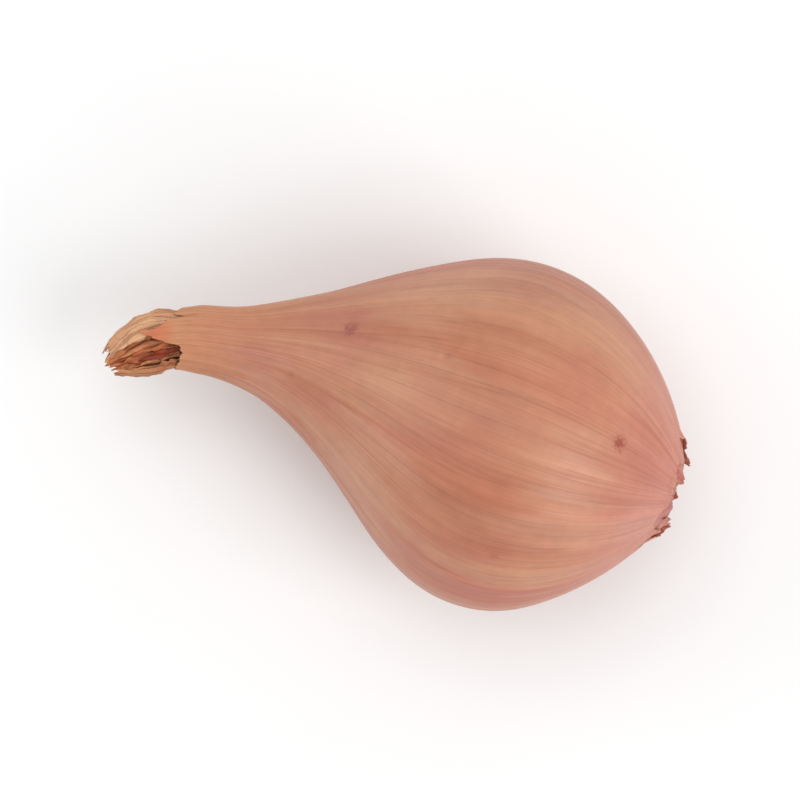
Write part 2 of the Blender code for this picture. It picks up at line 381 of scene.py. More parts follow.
def settle(piece, slot, *nodes):
    """Puts a piece on the one body and hides the nodes it stands for; its slot is not used."""
    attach(piece, "root")
    if nodes:
        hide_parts(*nodes)


# --- the skin ---
def skin_fibre(angle, station):
    return FIBRE_RADIUS * math.cos(angle), FIBRE_RADIUS * math.sin(angle), station


def station_at(radius):
    """Station near the root where the bulb's half width is this radius."""
    share = math.sqrt(1 - (2 * radius / BELLY_WIDTH) ** (1 / ROOT_ROUNDNESS))
    return mix(BELLY_AT, ROOT_END, share)


def edge_radius(angle):
    """How far from the root's middle the outermost layer has torn off."""
    x, y = math.cos(angle), math.sin(angle)
    radius = LAYER_END_RADIUS + 1.1 * wave(x * 1.7 + 3, y * 1.7, 0.3) + 0.9 * wave(x * 5, y * 5, 4.1)
    radius += 0.3 * wave(x * 17, y * 17, 9.2)
    for middle, depth, half, sharpness in LAYER_TEARS:
        off = abs((math.degrees(angle) - middle + 180) % 360 - 180) / half
        radius += depth * max(1 - off, 0) ** sharpness
    return radius


def split_middle(station):
    return SPLIT_ANGLE + 5 * wave(station * 0.09, 3.3, 1.0)


def split_half(station, side):
    """Half width in degrees of the long split in the outermost layer, on its side -1 or 1."""
    share = clamp((station - SPLIT_FROM) / (SPLIT_TO - SPLIT_FROM))
    ragged = 0.9 * wave(station * 0.35, side, 2.0) + 0.35 * wave(station * 1.3, side, 6.0)
    return SPLIT_HALF_WIDTH * share**1.4 + ragged * smoothstep(share / 0.1)


def off_split(station, angle):
    """Millimetres round the bulb to the split's edge, negative in it."""
    if station < SPLIT_FROM:
        return LAYER_REACH
    off = math.degrees(angle) - split_middle(station)
    return (abs(off) - split_half(station, math.copysign(1, off))) * math.radians(half_width(station))


def layer_at(station, angle):
    """Millimetres inside the outermost layer, negative where it has gone."""
    inside = off_split(station, angle)
    if station > ROOT_DETAIL_FROM - 2:
        inside = min(inside, half_width(station) - edge_radius(angle))
    return clamp(inside, -LAYER_REACH, LAYER_REACH)


def skin_relief(station, angle, layer):
    """How far the real skin stands off the plain form."""
    x, y = math.cos(angle), math.sin(angle)
    neck = smoothstep((40 - station) / 24)
    root = smoothstep((station - 72) / 8)
    body = 1 - root
    relief = 0.28 * wave(x * 1.5 + 7, y * 1.5, station * 0.05, 2)
    relief += neck * 0.26 * (0.45 - abs(wave(x * 2.6, y * 2.6, station * 0.03 + 3, 2)) * 1.6)
    relief += (0.05 + 0.05 * neck) * wave(x * 9, y * 9, station * 0.035 + 11, 2)
    relief += body * 0.05 * (0.4 - abs(wave(x * 15, y * 15, station * 0.02 + 5)) * 2)
    relief += root * 0.16 * wave(x * 8, y * 8, station * 0.05 + 17, 2)
    relief += root * 0.10 * wave(x * 20, y * 20, station * 0.09 + 19)
    relief += LAYER_THICKNESS * smoothstep(layer / 0.4 + 0.5)
    relief += 0.08 * math.exp(-((layer - 0.5) ** 2)) * (0.5 + wave(x * 5, y * 5, station * 0.4))
    return relief


def sheath_top(point):
    """Height of the dried end's upper side under a point, and how far in from its sides that is."""
    share = 0.5
    for _ in range(12):
        centre, side = dry_end_frame(share)
        along = Vector((side.y, -side.x, 0))
        share = clamp(share - (point - centre).dot(along) / 14.0, 0.0, 1.0)
    centre, side = dry_end_frame(share)
    across = (point - centre).dot(side) / through(DRY_HALF_WIDTHS, share)
    inside = 1 - abs(across)
    if inside <= 0:
        return 0.0, inside
    return centre.z + through(DRY_HALF_HEIGHTS, share) * math.sqrt(1 - across**2), inside


def skin_stations():
    """Stations of the skin's rings, spread along its surface and closer at its ends."""
    places, length = [(0.0, MOUTH_STATION)], 0.0
    at = MOUTH_STATION
    while at < ROOT_CUT_AT:
        step = min(PROFILE_STEP, ROOT_CUT_AT - at)
        rise = half_height(at + step) - half_height(at)
        detail = 1.0 if at < NECK_DETAIL_TO or at > ROOT_DETAIL_FROM else PLAIN_DETAIL
        length += math.hypot(step, rise) * detail
        at += step
        places.append((length, at))
        if ROOT_CUT_AT - at < 1e-6:
            break
    stations, i = [], 0
    for ring in range(SKIN_ALONG):
        want = length * ring / (SKIN_ALONG - 1)
        while i < len(places) - 2 and places[i + 1][0] < want:
            i += 1
        share = clamp((want - places[i][0]) / (places[i + 1][0] - places[i][0]))
        stations.append(mix(places[i][1], places[i + 1][1], share))
    return stations


def mouth_rim(angle):
    degrees = (math.degrees(angle) + 180) % 360 - 180
    x, y = math.cos(angle), math.sin(angle)
    torn = 0.35 * wave(x * 7, y * 7, 2.2) + 0.22 * wave(x * 21, y * 21, 6.3)
    return straight_through(MOUTH_RIM, degrees) + torn


def outer_skin_place(ring_station, angle, rim):
    """Where a point of the skin lies, its normal, its station and its layer value."""
    fade = 1 - smoothstep((ring_station - MOUTH_STATION) / MOUTH_FADE)
    station = ring_station + (rim - MOUTH_STATION) * fade
    layer = layer_at(station, angle)
    normal = skin_normal(station, angle)
    point = skin_point(station, angle) + normal * skin_relief(station, angle, layer)
    from_rim = station - rim
    point -= normal * 0.3 * (1 - smoothstep(from_rim / 3.0))
    if station < 11:
        top, inside = sheath_top(point)
        if inside > 0 and point.z > top:
            hold = smoothstep((11 - station) / 4) * smoothstep(inside / 0.35) * 0.92
            point.z = mix(point.z, top + MOUTH_CLEARANCE, hold)
    return point, normal, station, layer


def add_skin_ring(form, angles, ring, sink=0.0, hidden=False):
    for angle, (point, normal, station, layer) in zip(angles, ring):
        place = point - normal * sink
        place.z = max(place.z, FLOOR)
        form.add(place, skin_fibre(angle, station), INSIDE if hidden else layer)


def add_root_socket(form, angles, last):
    """The skin's ragged lip over the root plate's edge, and the socket under it."""
    for out, depth, torn in ROOT_SOCKET:
        for angle, (point, _, station, _) in zip(angles, last):
            x, y = math.cos(angle), math.sin(angle)
            lip = 0.75 + 0.55 * wave(x * 2.2, y * 2.2, 1.2) + 0.45 * wave(x * 4.5, y * 4.5, 3.3, 4)
            inwards = out + torn * max(lip, 0.05)
            rise = torn * 0.25 * wave(x * 3, y * 3, 8.8)
            place = point + Vector((0, -x, -y)) * inwards + Vector((rise - depth, 0, 0))
            form.add(place, skin_fibre(angle, station + inwards), -LAYER_REACH if depth < 0 else INSIDE)


def make_skin(material):
    """One closed sheet, from inside the mouth over its rim and along the bulb into the root socket."""
    stations = skin_stations()
    angles = [TAU * j / SKIN_AROUND for j in range(SKIN_AROUND)]
    rims = [mouth_rim(angle) for angle in angles]
    rings = [[outer_skin_place(at, angle, rim) for angle, rim in zip(angles, rims)] for at in stations]

    form = Form()
    mouth = [ring for at, ring in zip(stations, rings) if at <= MOUTH_CUP_TO]
    for ring in reversed(mouth):
        add_skin_ring(form, angles, ring, SKIN_THICKNESS, hidden=True)
    for ring in rings:
        add_skin_ring(form, angles, ring)
    add_root_socket(form, angles, rings[-1])

    count = len(form.points) // SKIN_AROUND
    form.join_rings(count, SKIN_AROUND, flip=True)
    for first, flip in ((0, False), ((count - 1) * SKIN_AROUND, True)):
        form.fan(first, SKIN_AROUND, (0, 0, form.fibres[first][2]), INSIDE, flip)
    return form.build("shallot_skin", material)


# --- the dried neck ---
def sheath_place(u, v):
    """The outermost dried leaf: ribbed, crumpled, curled at its split edges and torn at its tip."""
    first, last = SHEATH_EDGES
    start = first + 9 * wave(u * 5, 1.3, 8.8, 2) + 4 * wave(u * 17, 4.4, 1.0, 2)
    end = last + 9 * wave(u * 6, 7.7, 3.1, 2) + 4 * wave(u * 19, 0.4, 2.0, 2)
    angle = math.radians(mix(start, end, v))
    x, y = math.cos(angle), math.sin(angle)
    tip = 0.96 + 0.08 * wave(x * 1.6, y * 1.6, 5.5) + 0.07 * wave(x * 4.5, y * 4.5, 1.5, 4)
    share = u * tip
    ribs = 0.12 * (0.5 - abs(wave(x * 5, y * 5, share * 1.6, 2)) * 2)
    ribs += 0.05 * wave(x * 20, y * 20, share * 2)
    crumple = 0.30 * wave(x * 2.4 + 9, y * 2.4, share * 5, 3) * smoothstep(share / 0.4)
    crumple += 0.16 * wave(x * 4 + 3, y * 4, share * 13, 3) * smoothstep((share - 0.1) / 0.3)
    edge = min(v, 1 - v) / 0.07
    curl = 0.35 * (1 - smoothstep(edge)) * smoothstep(share / 0.3)
    point = dry_end_point(share, x, y, 0.15 - ribs - crumple + curl)
    return point, (angle * 4.0, 3.0, share * 16), 0.4


def collar_place(u, v):
    """A torn remnant of another leaf, held between the skin and the sheath."""
    angle = math.radians(mix(-32, -203, v))
    x, y = math.cos(angle), math.sin(angle)
    reach = 0.36 + 0.1 * wave(x * 2, y * 2, 7.1) + 0.09 * wave(x * 7, y * 7, 2.9, 2)
    reach -= 0.2 * (1 - smoothstep(min(v, 1 - v) / 0.2))
    share = mix(0.02, reach, u)
    ribs = 0.10 * wave(x * 7, y * 7, share * 2, 2)
    point = dry_end_point(share, x, y, -0.24 - ribs - 0.25 * u * wave(x * 2, y * 2, 4.4))
    return point, (angle * 4.0 + 50, 3.0, share * 16), 0.0


def make_neck_sheath(material):
    patches = [(84, 140, sheath_place), (22, 90, collar_place)]
    return make_sheets("neck_sheath_dry", patches, SHEATH_SHEET, material)


def neck_strip(across, height, start, reach, half, twist, tint, seed):
    """One narrow dried strip, crumpled, ragged at its edges, pointed and twisting towards its tip."""
    inset = 0.75

    def place(u, v):
        share = mix(start, reach, u)
        inner = through(DRY_HALF_WIDTHS, share) - inset
        taper = min(1.0, (1 - u) * 3.2 + 0.1) * (1 + 0.4 * wave(u * 6, seed + (v > 0.5), 0.5, 3))
        wander = 0.45 * wave(u * 3.0, seed, 2.5, 2) * u
        turn = twist * smoothstep(u) * 1.4 + 0.8 * wave(u * 4, seed, 4.5, 2)
        out = (2 * v - 1) * half * taper
        arch = 0.16 * (1 - (2 * v - 1) ** 2) + 0.12 * wave(v * 4, seed, u * 7, 2)
        lift = height * (through(DRY_HALF_HEIGHTS, share) - inset) + arch + out * math.sin(turn)
        lift += 0.4 * wave(u * 4.5, seed, 6.5, 2)
        centre, side = dry_end_frame(share)
        point = centre + side * (across * inner + wander + out * math.cos(turn)) + Vector((0, 0, lift))
        return point, (seed * 3.7 + v * half * 2, 1.0, share * 14), tint

    return (44, 11, place)


def make_neck_leaves(material):
    """The dried leaves that show in the sheath's slit, each shredded into strips."""
    made = {}
    for number, (leaf, strips) in enumerate(NECK_STRIPS.items()):
        patches = [neck_strip(*strip, seed=number * 5.3 + k * 1.7) for k, strip in enumerate(strips)]
        made[leaf] = make_sheets(leaf + "_strips", patches, STRIP_SHEET, material)
    return made


# --- the root end ---
def root_centre():
    return Vector((0, through(CENTRE_LINE, ROOT_CUT_AT, 1), through(CENTRE_LINE, ROOT_CUT_AT, 2)))


def plate_pit(x, y):
    """How deep a point of the plate lies in its pit, from 0 to 1."""
    x, y = x + 0.35 * wave(x * 1.7, y * 1.7, 2.0, 2), y + 0.35 * wave(x * 1.7, y * 1.7, 6.0, 2)
    return max(math.exp(-(math.hypot(x - across, y - up) / size) ** 4) for across, up, size in PLATE_PITS)


def plate_height(radius, angle):
    """The corky disc's front: cut nearly flat, with a low nub in a faint trough, a pit and a worn edge."""
    share = radius / PLATE_RADIUS
    x, y = math.cos(angle), math.sin(angle)
    height = 0.16 * (1 - smoothstep((share - 0.2) / 0.3)) - 0.12 * math.exp(-(((share - 0.62) / 0.1) ** 2))
    height += 0.10 * wave(x * 6, y * 6, share * 0.8, 2) * smoothstep((share - 0.3) / 0.3)
    height += 0.20 * wave(x * radius * 0.7, y * radius * 0.7, 3.3, 4)
    height -= 0.7 * smoothstep((share - 0.78) / 0.22)
    return max(height - PIT_DEPTH * plate_pit(radius * x, radius * y), PLATE_BACK - PLATE_FRONT + 0.15)


def add_root_thread(form, foot, direction, length, radius, seed):
    """What is left of one root: a thin, bent, shrivelled thread that ends in a point."""
    around, rings = 7, 12
    first = len(form.points)
    side = direction.orthogonal().normalized()
    other = direction.cross(side)
    for i in range(rings):
        u = i / (rings - 1)
        bend = (side * wave(u * 1.6, seed, 1.0) + other * wave(u * 1.6, seed, 5.0)) * length * 0.6 * u
        centre = foot + direction * (length * u) + bend
        size = radius * (1.0 - 0.75 * u**1.5) * (1 + 0.25 * wave(u * 6, seed, 2.0))
        for j in range(around):
            a = TAU * j / around
            point = centre + (side * math.cos(a) + other * math.sin(a)) * size
            form.add(point, (a * 2, seed * 4.1, u * length * 3), -0.4 - 0.4 * u)
    form.join_rings(rings, around, first)
    form.faces.append(tuple(reversed(range(first, first + around))))
    form.faces.append(tuple(range(len(form.points) - around, len(form.points))))


def add_root_threads(form, centre):
    """Threads all round the plate, near its edge, leaning inwards and to one side."""
    draw = random.Random(5)
    for k in range(ROOT_THREADS):
        angle = TAU * (k * 0.618 + draw.uniform(-0.03, 0.03))
        outwards = Vector((0, math.cos(angle), math.sin(angle)))
        aside = Vector((0, -math.sin(angle), math.cos(angle))) * draw.uniform(-0.8, 0.8)
        foot = centre + outwards * (PLATE_RADIUS * draw.uniform(0.8, 0.9))
        foot.x += PLATE_FRONT - 0.6
        lean = Vector((0.9, 0, 0)) + outwards * draw.uniform(-0.8, -0.2) + aside
        length, thick = draw.uniform(0.7, 1.7), draw.uniform(0.07, 0.13)
        add_root_thread(form, foot, lean.normalized(), length, thick, k * 1.9)


def make_root_plate(material):
    """The cut corky disc: a front of rings that grow outwards, a short side and a flat back."""
    form = Form()
    centre = root_centre()
    angles = [TAU * j / PLATE_AROUND for j in range(PLATE_AROUND)]
    for i in range(1, PLATE_RINGS):
        radius = PLATE_RADIUS * i / (PLATE_RINGS - 1)
        for angle in angles:
            x, y = math.cos(angle), math.sin(angle)
            reach = radius * (1 + 0.05 * wave(x * 2.5, y * 2.5, 7.1) + 0.03 * wave(x * 9, y * 9, 2.0))
            front = PLATE_FRONT + plate_height(radius, angle)
            point = centre + Vector((front, reach * x, reach * y * PLATE_HEIGHT_SHARE))
            form.add(point, (5 * x, 5 * y, reach), plate_pit(radius * x, radius * y))
    # The front's layer value is its pit depth and the back ring's is 0.6: the cork's material paints shade
    # by them, in the pit and down the plate's short side.
    for angle, point in zip(angles, form.points[-PLATE_AROUND:]):
        out = point - centre
        fibre = (5 * math.cos(angle), 5 * math.sin(angle), PLATE_RADIUS + 1)
        form.add(centre + Vector((PLATE_BACK, out.y * 0.97, out.z * 0.97)), fibre, 0.6)
    form.join_rings(PLATE_RINGS, PLATE_AROUND, flip=True)
    form.fan(0, PLATE_AROUND, (0, 0, 0), 0.0)
    form.fan((PLATE_RINGS - 1) * PLATE_AROUND, PLATE_AROUND, (0, 0, 0), 0.0, flip=True)
    add_root_threads(form, centre)
    return form.build("root_plate_cork", material)


def torn_flap(start, middle, length, half, lift):
    """A tongue of skin: it grows out of the skin's surface, torn at its sides and tip, and lifts off."""
    def place(u, v):
        across = 2 * v - 1
        torn = 1 + 0.45 * wave(v * 3, middle, 1.1) + 0.08 * wave(v * 10, middle, 3.1) - 0.35 * across**2
        narrow = 1 - 0.35 * u + 0.12 * wave(u * 4, middle, 5.0 + (v > 0.5))
        angle = math.radians(middle + half * across * narrow + 1.5 * wave(u * 2, middle, 9.0))
        x, y = math.cos(angle), math.sin(angle)
        reach = start + length * u * torn
        station = min(reach, ROOT_CUT_AT)
        beyond = reach - station
        at = min(station, ROOT_CUT_AT - 0.3)
        normal = skin_normal(at, angle)
        height = mix(-0.22, 0.2, smoothstep(u / 0.35)) + lift * smoothstep((u - 0.2) / 0.8) ** 2
        height += 0.12 * wave(v * 3, middle, u * 2) * u
        height += skin_relief(at, angle, layer_at(at, angle))
        point = skin_point(station, angle) + normal * height
        point += Vector((0.75 * beyond, -0.55 * beyond * x, -0.55 * beyond * y))
        point.z = max(point.z, FLOOR + FLOOR_GAP)
        return point, skin_fibre(angle, station + beyond), -1.0

    return (22, 30, place)


def curled_lip(at_edge, back, lift, seed):
    """A stretch of the outermost layer's torn edge that curls off, flush with the layer at both its ends.

    at_edge(v, inwards) gives the station and angle of a place that far inside the edge.
    """
    def place(u, v):
        fade = smoothstep((1 - abs(2 * v - 1)) / 0.7)
        ragged = 0.25 + 0.2 * wave(v * 9, seed, 1.0, 2)
        station, angle = at_edge(v, back * (1 - u) - ragged * u * fade)
        height = skin_relief(station, angle, LAYER_REACH) + mix(-0.16, 0.06, smoothstep(u / 0.4))
        height += fade * lift * u**2 * (1 + 0.4 * wave(v * 5, seed, 3.0)) - 0.12 * (1 - fade)
        point = skin_point(station, angle) + skin_normal(station, angle) * height
        point.z = max(point.z, FLOOR + FLOOR_GAP)
        return point, skin_fibre(angle, station), back * (1 - u)

    return (14, 44, place)


def root_edge(middle, half):
    def at_edge(v, inwards):
        angle = math.radians(middle + half * (2 * v - 1))
        rim = half_width(ROOT_CUT_AT) + 0.1
        return station_at(max(edge_radius(angle) + inwards, rim)), angle

    return at_edge


def split_edge(side, first, last):
    def at_edge(v, inwards):
        station = mix(first, last, v)
        off = split_half(station, side) + math.degrees(inwards / half_width(station))
        return station, math.radians(split_middle(station) + side * off)

    return at_edge


def make_root_flaps(material):
    patches = [torn_flap(*flap) for flap in ROOT_FLAPS]
    return make_sheets("root_skin_flaps", patches, FLAKE_SHEET, material)


def make_edge_lips(material):
    patches = []
    for middle, half, back, lift in EDGE_LIPS:
        patches.append(curled_lip(root_edge(middle, half), back, lift, middle))
    for side, first, last, back, lift in SPLIT_LIPS:
        patches.append(curled_lip(split_edge(side, first, last), back, lift, first))
    return make_sheets("outer_skin_flakes", patches, FLAKE_SHEET, material)


# --- materials ---
class Look:
    """A procedural material, built with short calls."""

    def __init__(self, name):
        self.material = bpy.data.materials.new(name)
        self.material.use_nodes = True
        self.tree = self.material.node_tree
        self.shader = self.tree.nodes["Principled BSDF"]

    def feed(self, socket, value):
        if isinstance(value, bpy.types.NodeSocket):
            self.tree.links.new(value, socket)
        else:
            socket.default_value = value

    def attribute(self, name, output="Vector"):
        node = self.tree.nodes.new("ShaderNodeAttribute")
        node.attribute_name = name
        return node.outputs[output]

    def position(self):
        """Place in millimetres."""
        node = self.tree.nodes.new("ShaderNodeTexCoord")
        return self.scaled(node.outputs["Object"], (1 / MM, 1 / MM, 1 / MM))

    def part(self, vector, axis):
        """One of the vector's numbers."""
        node = self.tree.nodes.new("ShaderNodeSeparateXYZ")
        self.feed(node.inputs[0], vector)
        return node.outputs[axis]

    def vector_math(self, operation, first, second):
        node = self.tree.nodes.new("ShaderNodeVectorMath")
        node.operation = operation
        self.feed(node.inputs[0], first)
        self.feed(node.inputs[1], second)
        return node.outputs["Value" if operation in ("DISTANCE", "LENGTH") else "Vector"]

    def scaled(self, vector, factors):
        return self.vector_math("MULTIPLY", vector, factors)

    def maths(self, operation, first, second=0.0):
        node = self.tree.nodes.new("ShaderNodeMath")
        node.operation = operation
        self.feed(node.inputs[0], first)
        self.feed(node.inputs[1], second)
        return node.outputs[0]

    def noise(self, vector, factors, detail=3.0, rough=0.5):
        node = self.tree.nodes.new("ShaderNodeTexNoise")
        self.feed(node.inputs["Vector"], self.scaled(vector, factors))
        node.inputs["Scale"].default_value = 1.0
        node.inputs["Detail"].default_value = detail
        node.inputs["Roughness"].default_value = rough
        return node.outputs["Fac"]

    def spread(self, value, low, high, to_low=0.0, to_high=1.0, smooth=True):
        """The value's way from low to high, spread from to_low to to_high and held at both ends."""
        node = self.tree.nodes.new("ShaderNodeMapRange")
        node.interpolation_type = "SMOOTHSTEP" if smooth else "LINEAR"
        self.feed(node.inputs["Value"], value)
        ends = {"From Min": low, "From Max": high, "To Min": to_low, "To Max": to_high}
        for name, number in ends.items():
            node.inputs[name].default_value = number
        return node.outputs["Result"]

    def blend(self, first, second, share, mode="MIX"):
        node = self.tree.nodes.new("ShaderNodeMix")
        node.data_type = "RGBA"
        node.blend_type = mode
        self.feed(node.inputs["Factor"], share)
        self.feed(node.inputs["A"], first)
        self.feed(node.inputs["B"], second)
        return node.outputs["Result"]

    def line(self, value, width):
        """1 where the noise crosses its middle, falling to 0 a little way off: a thin wandering line."""
        off = self.maths("ABSOLUTE", self.maths("SUBTRACT", value, 0.5))
        return self.spread(off, 0.0, width, 1.0, 0.0)

    def grey(self, value):
        node = self.tree.nodes.new("ShaderNodeCombineColor")
        for name in ("Red", "Green", "Blue"):
            self.feed(node.inputs[name], value)
        return node.outputs["Color"]

    def bump(self, height, depth, strength):
        """Fine relief, with its depth in millimetres."""
        node = self.tree.nodes.new("ShaderNodeBump")
        node.inputs["Strength"].default_value = strength
        node.inputs["Distance"].default_value = depth * MM
        self.feed(node.inputs["Height"], height)
        self.tree.links.new(node.outputs["Normal"], self.shader.inputs["Normal"])

    def set(self, **values):
        """Numbers or sockets for the shader, under its own names with _ for a space."""
        for name, value in values.items():
            self.feed(self.shader.inputs[name.replace("_", " ")], value)


def colour(red, green, blue):
    """Linear colour from an ordinary screen colour of 0 to 255."""
    def linear(value):
        value /= 255
        return value / 12.92 if value <= 0.04045 else ((value + 0.055) / 1.055) ** 2.4

    return (linear(red), linear(green), linear(blue), 1.0)


# Small marks on the skin's upper side: station and side, radius, strength and screen colour.
SKIN_MARKS = [
    ((32.2, 6.9), 1.2, 0.62, (142, 62, 66)),
    ((71.7, 3.7), 1.3, 0.8, (150, 62, 40)),
    ((46.0, 7.5), 0.7, 0.3, (158, 70, 60)),
    ((26.4, -1.6), 0.6, 0.25, (150, 76, 60)),
    ((60.5, -16.0), 0.8, 0.3, (150, 70, 50)),
]
# The orange-red tip of the skin over the mouth.
TONGUE_TIP = (6.0, -1.9)
# Broad patches where the skin is redder or paler, with the same values as the small marks. Some are painted
# light: the pale patch at station 67.5 is a painted highlight, and the three red patches low on the side at
# stations 51 to 70.5 are painted shade along the lower edge.
SKIN_PATCHES_AND_PAINTED_LIGHT = [
    ((57.5, -14.5), 9.5, 0.55, (170, 98, 76)),
    ((51.0, 1.5), 8.0, 0.4, (176, 108, 82)),
    ((54.0, 19.0), 8.0, 0.4, (172, 98, 74)),
    # painted highlight
    ((67.5, -5.5), 8.5, 0.45, (212, 160, 130)),
    ((39.0, -8.5), 8.5, 0.5, (205, 151, 125)),
    ((45.5, 0.5), 6.0, 0.35, (208, 152, 122)),
    ((78.5, -4.5), 4.5, 0.4, (208, 154, 138)),
    ((22.0, -3.5), 5.0, 0.5, (206, 152, 130)),
    ((33.0, 6.0), 5.0, 0.35, (188, 112, 98)),
    ((76.5, 3.0), 5.5, 0.4, (178, 98, 76)),
    ((21.0, -0.5), 3.4, 0.35, (180, 102, 86)),
    # painted shade along the lower edge, in this patch and the next two
    ((62.0, -22.5), 9.0, 0.7, (182, 94, 74)),
    ((51.0, -21.5), 8.0, 0.5, (184, 98, 78)),
    ((70.5, -18.5), 7.0, 0.35, (190, 104, 86)),
    ((42.0, 12.0), 7.5, 0.5, (205, 150, 118)),
]


def skin_marks_and_painted_light(look, paint, marks, wobble, sway):
    """Marks and patches at their places on the upper side, some of them painted highlight and painted shade,
    each with a soft edge, uneven by a share of its radius.
    """
    place = look.position()
    for (station, side), radius, strength, shade in marks:
        away = look.vector_math("DISTANCE", place, skin_spot(station, side))
        away = look.maths("ADD", away, look.spread(wobble, 0.25, 0.75, -sway * radius, sway * radius))
        share = look.spread(away, radius * 0.1, radius * 1.3, strength, 0.0)
        paint = look.blend(paint, colour(*shade), share)
    return paint


def skin_spot(station, side):
    """Where the upper skin lies at a station and side, in the frame's millimetres."""
    centre, _, wide, _, _ = profile_at(station)
    angle = math.acos(clamp((side - centre) / wide, -1, 1))
    return skin_point(station, angle) + SHIFT


def outer_layer_paint(look, fibre, patch):
    """The outermost layer: copper to tan, straw towards the neck and pinker towards the root, with broad
    patches that include a painted highlight and painted shade.
    """
    station = look.part(fibre, "Z")
    broad = look.noise(fibre, (0.09, 0.09, 0.014), 2.0)
    streak = look.noise(fibre, (0.22, 0.22, 0.03), 3.0, 0.55)
    paint = look.blend(colour(201, 143, 111), colour(186, 117, 88), look.spread(broad, 0.36, 0.64))
    paint = look.blend(paint, colour(192, 121, 99), look.spread(patch, 0.42, 0.68, 0.0, 0.7))
    paint = look.blend(paint, colour(208, 142, 102), look.spread(station, 28, 10, 0.0, 0.65))
    paint = look.blend(paint, colour(210, 150, 106), look.spread(station, 13, 7, 0.0, 0.75))
    paint = look.blend(paint, colour(202, 131, 116), look.spread(station, 66, 81, 0.0, 0.75))
    return skin_marks_and_painted_light(look, paint, SKIN_PATCHES_AND_PAINTED_LIGHT, streak, 0.7)


def inner_layer_paint(look, middle, patch):
    """The layer under it: pinker, streaked with purple-red."""
    paint = look.blend(colour(201, 136, 117), colour(184, 106, 94), look.spread(middle, 0.4, 0.68))
    return look.blend(paint, colour(164, 88, 88), look.spread(patch, 0.5, 0.72, 0.0, 0.45))


def torn_edge_paint(look, paint, torn):
    """A pale line along the torn edge, partly the dry edge's own colour and partly a painted highlight on
    its lip, and a painted shadow just outside it.
    """
    edge = look.maths("MULTIPLY", look.spread(torn, -0.02, 0.04), look.spread(torn, 0.1, 0.4, 1.0, 0.0))
    worn = look.spread(look.noise(look.position(), (0.35, 0.35, 0.35), 3.0), 0.42, 0.6, 0.1, 0.55)
    paint = look.blend(paint, colour(220, 172, 140), look.maths("MULTIPLY", edge, worn))
    outside = look.spread(torn, -0.04, 0.02, 1.0, 0.0)
    shadow = look.maths("MULTIPLY", look.spread(torn, -0.35, -0.05), outside)
    return look.blend(paint, colour(112, 52, 40), look.maths("MULTIPLY", shadow, 0.5))


def skin_bump(look, fine, thread, vein, torn):
    """Fine fibres, threads and veins, and the step at the outermost layer's torn edge."""
    height = look.maths("ADD", look.maths("MULTIPLY", fine, 0.5), look.maths("MULTIPLY", thread, 0.4))
    height = look.maths("ADD", height, vein)
    height = look.maths("ADD", height, look.spread(torn, -0.08, 0.08, 0.0, 3.0))
    look.bump(height, 0.05, 0.6)


def skin_look():
    """Thin dry skin in two layers, with long veins and threads, broad patches and a few small marks, and
    painted light: a highlight and shade in some patches, at the torn edge, and shade inside the mouth and
    the socket.
    """
    look = Look("dry_skin")
    fibre = look.attribute("fibre")
    layer = look.attribute("layer", "Fac")
    place = look.position()
    patch = look.noise(fibre, (0.07, 0.07, 0.06), 3.0, 0.55)
    middle = look.noise(fibre, (0.42, 0.42, 0.018), 4.0, 0.55)
    fine = look.noise(fibre, (2.4, 2.4, 0.07), 4.0, 0.6)
    mottle = look.noise(place, (0.5, 0.5, 0.5), 4.0, 0.6)
    ragged = look.noise(place, (2.2, 2.2, 2.2), 4.0, 0.65)
    vein = look.line(look.noise(fibre, (0.5, 0.5, 0.012), 1.0), 0.03)
    thread = look.line(look.noise(fibre, (1.3, 1.3, 0.03), 1.0), 0.05)

    torn = look.maths("ADD", layer, look.spread(ragged, 0.25, 0.75, -0.3, 0.3, smooth=False))
    inner = inner_layer_paint(look, middle, patch)
    outer = outer_layer_paint(look, fibre, patch)
    paint = look.blend(inner, outer, look.spread(torn, -0.04, 0.04))
    paint = look.blend(paint, colour(150, 76, 54), look.maths("MULTIPLY", vein, 0.19))
    paint = look.blend(paint, colour(164, 88, 64), look.maths("MULTIPLY", thread, 0.13))
    for part, low, high in ((middle, 0.945, 1.05), (fine, 0.96, 1.04), (mottle, 0.955, 1.04)):
        shade = look.grey(look.spread(part, 0.25, 0.75, low, high))
        paint = look.blend(paint, shade, 1.0, "MULTIPLY")
    paint = torn_edge_paint(look, paint, torn)
    # the orange-red tongue over the mouth
    tongue = look.vector_math("DISTANCE", place, skin_spot(*TONGUE_TIP))
    paint = look.blend(paint, colour(206, 98, 62), look.spread(tongue, 0.6, 3.6, 0.6, 0.0))
    paint = skin_marks_and_painted_light(look, paint, SKIN_MARKS, ragged, 0.4)
    # painted shade: dark inside the mouth and the socket
    paint = look.blend(paint, colour(104, 52, 32), look.spread(layer, -8.0, -12.0))

    look.set(Base_Color=paint, Roughness=look.spread(middle, 0.3, 0.7, 0.36, 0.5), IOR=1.42)
    look.set(Coat_Weight=0.07, Coat_Roughness=0.28)
    skin_bump(look, fine, thread, vein, torn)
    return look.material


